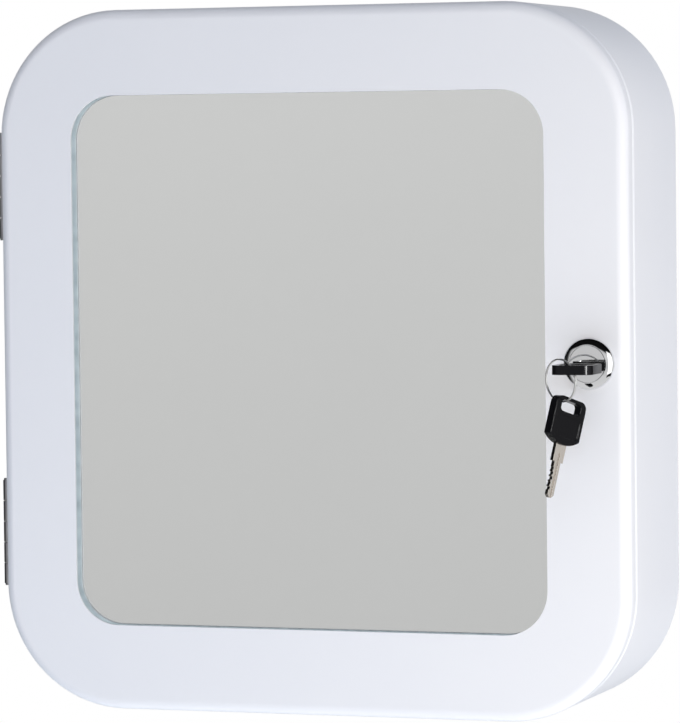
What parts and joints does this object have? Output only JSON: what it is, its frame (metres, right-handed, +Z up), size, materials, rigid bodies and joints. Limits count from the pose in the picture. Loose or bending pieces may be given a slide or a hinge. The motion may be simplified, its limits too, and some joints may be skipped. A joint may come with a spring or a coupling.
{
  "type": "lockable wall cabinet",
  "caption": "Lockable white steel medicine cabinet with rounded corners, a mirror in the hinged door, inside shelves, and a cam lock with keys on a ring.",
  "frame": {"origin": "middle of the four wall-fixing holes, on the back panel's face that lies on the wall", "axes": "+X to the viewer's right, the door faces -Y, +Z up along the cabinet's height"},
  "size_m": [0.2843, 0.1087, 0.3],
  "materials": {
    "white_powder_coat": "satin",
    "dark_hinge_steel": "satin",
    "zinc_plated_steel": "satin",
    "chromed_zinc": "polished",
    "silvered_pane": "polished",
    "white_foam_tape": "matt",
    "brown_hardboard": "matt",
    "wafer_brass": "satin",
    "spring_steel": "satin",
    "nickel_plated_steel": "polished",
    "black_moulded_plastic": "gloss"
  },
  "bodies": {
    "cabinet": {"cabinet_shell": "white_powder_coat", "back_panel": "white_powder_coat", "upper_shelf": "white_powder_coat", "lower_shelf": "white_powder_coat", "shelf_brackets": "white_powder_coat", "shelf_rivets": "zinc_plated_steel", "upper_hinge_body_leaf": "dark_hinge_steel", "lower_hinge_body_leaf": "dark_hinge_steel", "upper_hinge_pin": "zinc_plated_steel", "lower_hinge_pin": "zinc_plated_steel", "hinge_rivets": "zinc_plated_steel"},
    "door": {"door_panel": "white_powder_coat", "mirror_tape": "white_foam_tape", "mirror_glass": "silvered_pane", "mirror_backing": "brown_hardboard", "mirror_clips": "zinc_plated_steel", "clip_studs": "zinc_plated_steel", "clip_nuts": "zinc_plated_steel", "upper_hinge_door_leaf": "dark_hinge_steel", "lower_hinge_door_leaf": "dark_hinge_steel", "lock_housing": "chromed_zinc", "lock_nut": "zinc_plated_steel"},
    "lock": {"lock_plug": "chromed_zinc", "lock_wafers": "wafer_brass", "wafer_springs": "spring_steel", "stop_washer": "zinc_plated_steel", "lock_cam": "zinc_plated_steel", "cam_washer": "zinc_plated_steel", "cam_screw": "zinc_plated_steel"},
    "key": {"key_blade": "nickel_plated_steel", "key_bow": "black_moulded_plastic"},
    "ring": {"key_ring": "nickel_plated_steel"},
    "spare_key": {"spare_key_blade": "nickel_plated_steel", "spare_key_bow": "black_moulded_plastic"}
  },
  "joints": [
    {"name": "door_swing", "type": "hinge", "parent": "cabinet", "child": "door", "pos_m": [-0.1423, -0.0697, 0], "axis": [0, 0, -1], "range_deg": [0, 165]},
    {"name": "lock_turn", "type": "hinge", "parent": "door", "child": "lock", "pos_m": [0.1235, -0.08, 0], "axis": [0, -1, 0], "range_deg": [0, 90]},
    {"name": "key_slide", "type": "slide", "parent": "lock", "child": "key", "axis": [0, -1, 0], "range_m": [0, 0.03]},
    {"name": "ring_hang", "type": "hinge", "parent": "key", "child": "ring", "pos_m": [0.1221, -0.1042, -0.0016], "axis": [0, -1, 0], "range_deg": [-90, 0]},
    {"name": "spare_key_swing", "type": "hinge", "parent": "ring", "child": "spare_key", "pos_m": [0.1172, -0.1004, -0.0059], "axis": [0.5062, 0.8593, 0.0732], "range_deg": [-25, 25]}
  ],
  "couplings": [
    {"joint": "ring_hang", "follows": "lock_turn", "ratio": -1}
  ]
}
